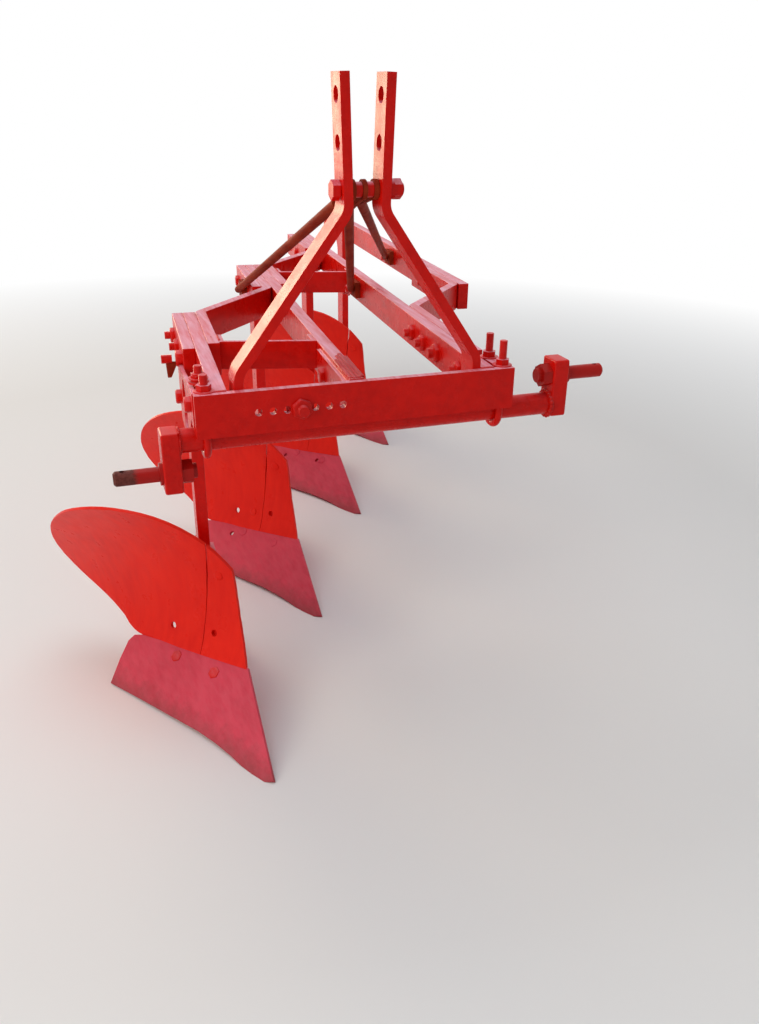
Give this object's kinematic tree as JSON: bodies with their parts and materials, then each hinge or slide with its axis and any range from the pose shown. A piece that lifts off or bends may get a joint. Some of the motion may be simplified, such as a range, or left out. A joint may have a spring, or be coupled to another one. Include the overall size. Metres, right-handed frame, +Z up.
{
  "type": "moldboard plough",
  "caption": "Mounted moldboard plough with right-turning bodies in a staggered row under skewed flat-bar beams, a top-link mast with rear braces and a cranked cross shaft.",
  "frame": {"origin": "on the ground, under the middle of the whole plough", "axes": "+X along the crossbar to the plough's left side, +Y to the rear, away from the tractor, +Z up"},
  "size_m": [1.2716, 2.4805, 1.3143],
  "materials": {
    "frame_paint": "gloss",
    "moldboard_paint": "gloss",
    "share_paint": "matte"
  },
  "bodies": {
    "frame": {"crossbar": "frame_paint", "side_plate": "frame_paint", "clamp_seats": "frame_paint", "u_bolts": "frame_paint", "mast_left": "frame_paint", "mast_right": "frame_paint", "mast_bolt": "frame_paint", "brace_left": "frame_paint", "brace_middle": "frame_paint", "brace_right": "frame_paint", "beam_1": "frame_paint", "beam_2": "frame_paint", "beam_3": "frame_paint", "beam_4": "frame_paint", "link_bar_1": "frame_paint", "link_bar_2": "frame_paint", "link_bar_3": "frame_paint", "spacer_1": "frame_paint", "spacer_2": "frame_paint", "leg_1": "frame_paint", "leg_2": "frame_paint", "leg_3": "frame_paint", "leg_4": "frame_paint", "frog_1": "frame_paint", "frog_2": "frame_paint", "frog_3": "frame_paint", "frog_4": "frame_paint", "share_1": "share_paint", "share_2": "share_paint", "share_3": "share_paint", "share_4": "share_paint", "moldboard_1": "moldboard_paint", "moldboard_2": "moldboard_paint", "moldboard_3": "moldboard_paint", "moldboard_4": "moldboard_paint", "shin_1": "moldboard_paint", "shin_2": "moldboard_paint", "shin_3": "moldboard_paint", "shin_4": "moldboard_paint"},
    "crank": {"cross_shaft": "frame_paint", "crank_arm_left": "frame_paint", "crank_arm_right": "frame_paint", "link_pin_left": "frame_paint", "link_pin_right": "frame_paint"}
  },
  "joints": [
    {"name": "crank_axle", "type": "hinge", "parent": "frame", "child": "crank", "pos_m": [0.00071, -1.09703, 0.709], "axis": [1, 0, 0], "range_deg": [-25, 25]}
  ]
}
